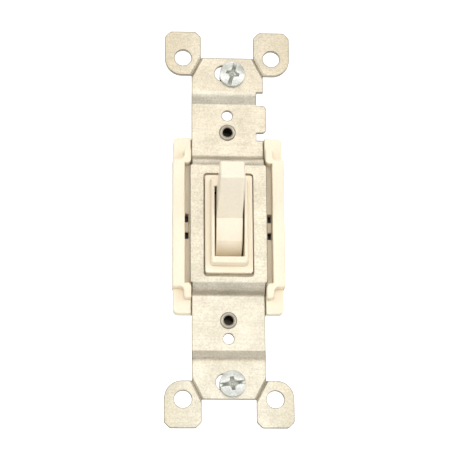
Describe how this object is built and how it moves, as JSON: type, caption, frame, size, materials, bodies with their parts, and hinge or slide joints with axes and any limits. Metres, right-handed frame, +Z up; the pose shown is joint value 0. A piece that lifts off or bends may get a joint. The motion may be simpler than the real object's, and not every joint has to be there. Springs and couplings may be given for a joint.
{
  "type": "toggle wall switch",
  "caption": "Framed toggle switch on a stepped steel mounting strap with plaster ears, light cover, dark base, side screw terminals and a see-saw contact.",
  "frame": {"origin": "midway between the two box-screw slots, in the plane where the backs of the strap's ears meet the wall", "axes": "+Z up along the strap as installed, -Y out of the wall towards the person who works the toggle, +X to that person's right"},
  "size_m": [0.0334, 0.0429, 0.1068],
  "materials": {
    "zinc_steel": "zinc plated, satin with faint mottling",
    "ivory_plastic": "moulded light almond, satin",
    "ivory_plastic_toggle": "moulded light almond, smooth",
    "black_phenolic": "moulded, matt",
    "zinc_screw": "bright zinc",
    "rivet_steel": "zinc plated",
    "fibre": "vulcanised fibre",
    "brass": "stamped, satin",
    "brass_screw": "bright",
    "black_screw": "black oxide",
    "copper_alloy": "rolled strip",
    "silver_contact": "silver alloy",
    "spring_steel": "drawn wire and strip"
  },
  "bodies": {
    "housing": {"common_terminal": "brass", "fixed_contact_lower": "silver_contact", "fixed_contact_upper": "silver_contact", "front_cover": "ivory_plastic", "mounting_strap": "zinc_steel", "rear_base": "black_phenolic", "rivet_lower": "rivet_steel", "rivet_upper": "rivet_steel", "traveller_terminal_lower": "brass", "traveller_terminal_upper": "brass", "wire_clip_common": "spring_steel", "wire_clip_lower": "spring_steel", "wire_clip_upper": "spring_steel"},
    "toggle": {"toggle_lever": "ivory_plastic_toggle"},
    "spring": {"toggle_spring": "spring_steel"},
    "rocker": {"rocker_plate": "copper_alloy", "rocker_contact_upper": "silver_contact", "rocker_contact_lower": "silver_contact"},
    "box_screw_upper": {"mounting_screw_upper": "zinc_screw", "screw_retainer_upper": "fibre"},
    "box_screw_lower": {"mounting_screw_lower": "zinc_screw", "screw_retainer_lower": "fibre"},
    "common_screw": {"common_screw": "black_screw"},
    "traveller_screw_upper": {"traveller_screw_upper": "brass_screw"},
    "traveller_screw_lower": {"traveller_screw_lower": "brass_screw"}
  },
  "joints": [
    {"name": "toggle_hinge", "type": "hinge", "parent": "housing", "child": "toggle", "pos_m": [0, 0.0028, 0], "axis": [1, 0, 0], "range_deg": [0, 54], "deforming": ["toggle_spring"]},
    {"name": "rocker_hinge", "type": "hinge", "parent": "housing", "child": "rocker", "pos_m": [0, 0.016, 0], "axis": [1, 0, 0], "range_deg": [0, 18]},
    {"name": "spring_swing", "type": "hinge", "parent": "toggle", "child": "spring", "pos_m": [0, 0.0085, -0.00291], "axis": [1, 0, 0], "range_deg": [-109.7, 0]},
    {"name": "box_screw_upper_float", "type": "slide", "parent": "housing", "child": "box_screw_upper", "axis": [1, 0, 0], "range_m": [-0.0028, 0.0002]},
    {"name": "box_screw_lower_float", "type": "slide", "parent": "housing", "child": "box_screw_lower", "axis": [1, 0, 0], "range_m": [-0.0023, 0.0007]},
    {"name": "common_screw_travel", "type": "slide", "parent": "housing", "child": "common_screw", "axis": [1, 0, 0], "range_m": [0, 0.0025]},
    {"name": "traveller_screw_upper_travel", "type": "slide", "parent": "housing", "child": "traveller_screw_upper", "axis": [-1, 0, 0], "range_m": [0, 0.0025]},
    {"name": "traveller_screw_lower_travel", "type": "slide", "parent": "housing", "child": "traveller_screw_lower", "axis": [-1, 0, 0], "range_m": [0, 0.0025]}
  ],
  "couplings": [
    {"joint": "rocker_hinge", "follows": "toggle_hinge", "ratio": 0.33333},
    {"joint": "spring_swing", "follows": "toggle_hinge", "ratio": -2.0302}
  ]
}
